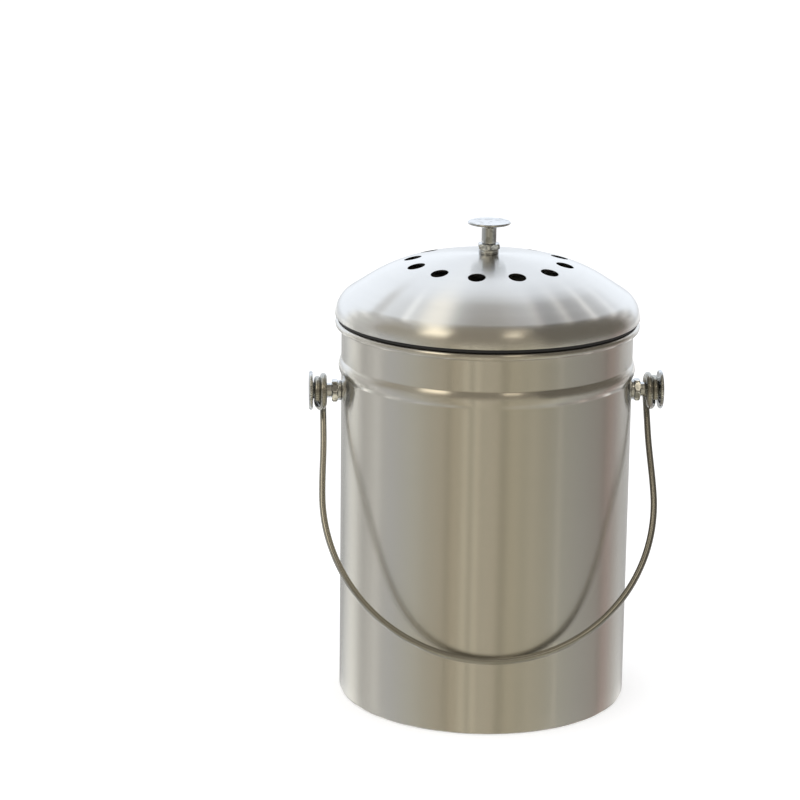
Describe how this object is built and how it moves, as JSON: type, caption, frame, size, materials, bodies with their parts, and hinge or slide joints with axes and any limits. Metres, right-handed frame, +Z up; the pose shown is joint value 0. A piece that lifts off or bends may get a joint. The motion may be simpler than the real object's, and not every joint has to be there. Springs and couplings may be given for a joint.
{
  "type": "compost caddy",
  "caption": "Cylindrical steel kitchen compost pail with a vented domed lift-off lid, charcoal filter and wire bail.",
  "frame": {"origin": "centre of the foot, on the surface that the pail stands on", "axes": "+Z up along the pail's axis; X along the bail's posts; -Y is the front, where the bail hangs at rest"},
  "size_m": [0.2162, 0.1852, 0.2949],
  "materials": {
    "brushed_steel": "fine circumferential satin brushing",
    "lid_steel": "fine circular satin brushing",
    "plain_steel": "plain bright mill finish",
    "wire_steel": "drawn wire, half bright",
    "chrome": "bright polish",
    "seal_rubber": "matt black silicone",
    "charcoal": "matt black charcoal felt",
    "holder_plastic": "matt black moulded plastic"
  },
  "bodies": {
    "pail": {"pail_wall": "brushed_steel", "pail_base": "brushed_steel", "right_post": "chrome", "right_post_collar": "chrome", "right_post_spacer": "chrome", "right_post_washer": "plain_steel", "right_post_screw": "plain_steel", "left_post": "chrome", "left_post_collar": "chrome", "left_post_spacer": "chrome", "left_post_washer": "plain_steel", "left_post_screw": "plain_steel"},
    "lid": {"lid_dome": "lid_steel", "lid_ring": "plain_steel", "lid_seal": "seal_rubber", "lid_knob": "chrome", "lid_knob_collar": "chrome", "lid_knob_spacer": "chrome", "lid_knob_washer": "plain_steel", "lid_knob_screw": "plain_steel"},
    "filter": {"filter_holder": "holder_plastic", "charcoal_filter": "charcoal"},
    "bail": {"bail_wire": "wire_steel"}
  },
  "joints": [
    {"name": "bail_swing", "type": "hinge", "parent": "pail", "child": "bail", "pos_m": [0, 0, 0.1903], "axis": [-1, 0, 0], "range_deg": [0, 295]},
    {"name": "lid_lift", "type": "slide", "parent": "pail", "child": "lid", "axis": [0, 0, 1], "range_m": [0, 0.2]},
    {"name": "filter_pull", "type": "slide", "parent": "lid", "child": "filter", "axis": [0, 0, -1], "range_m": [0, 0.03]}
  ]
}
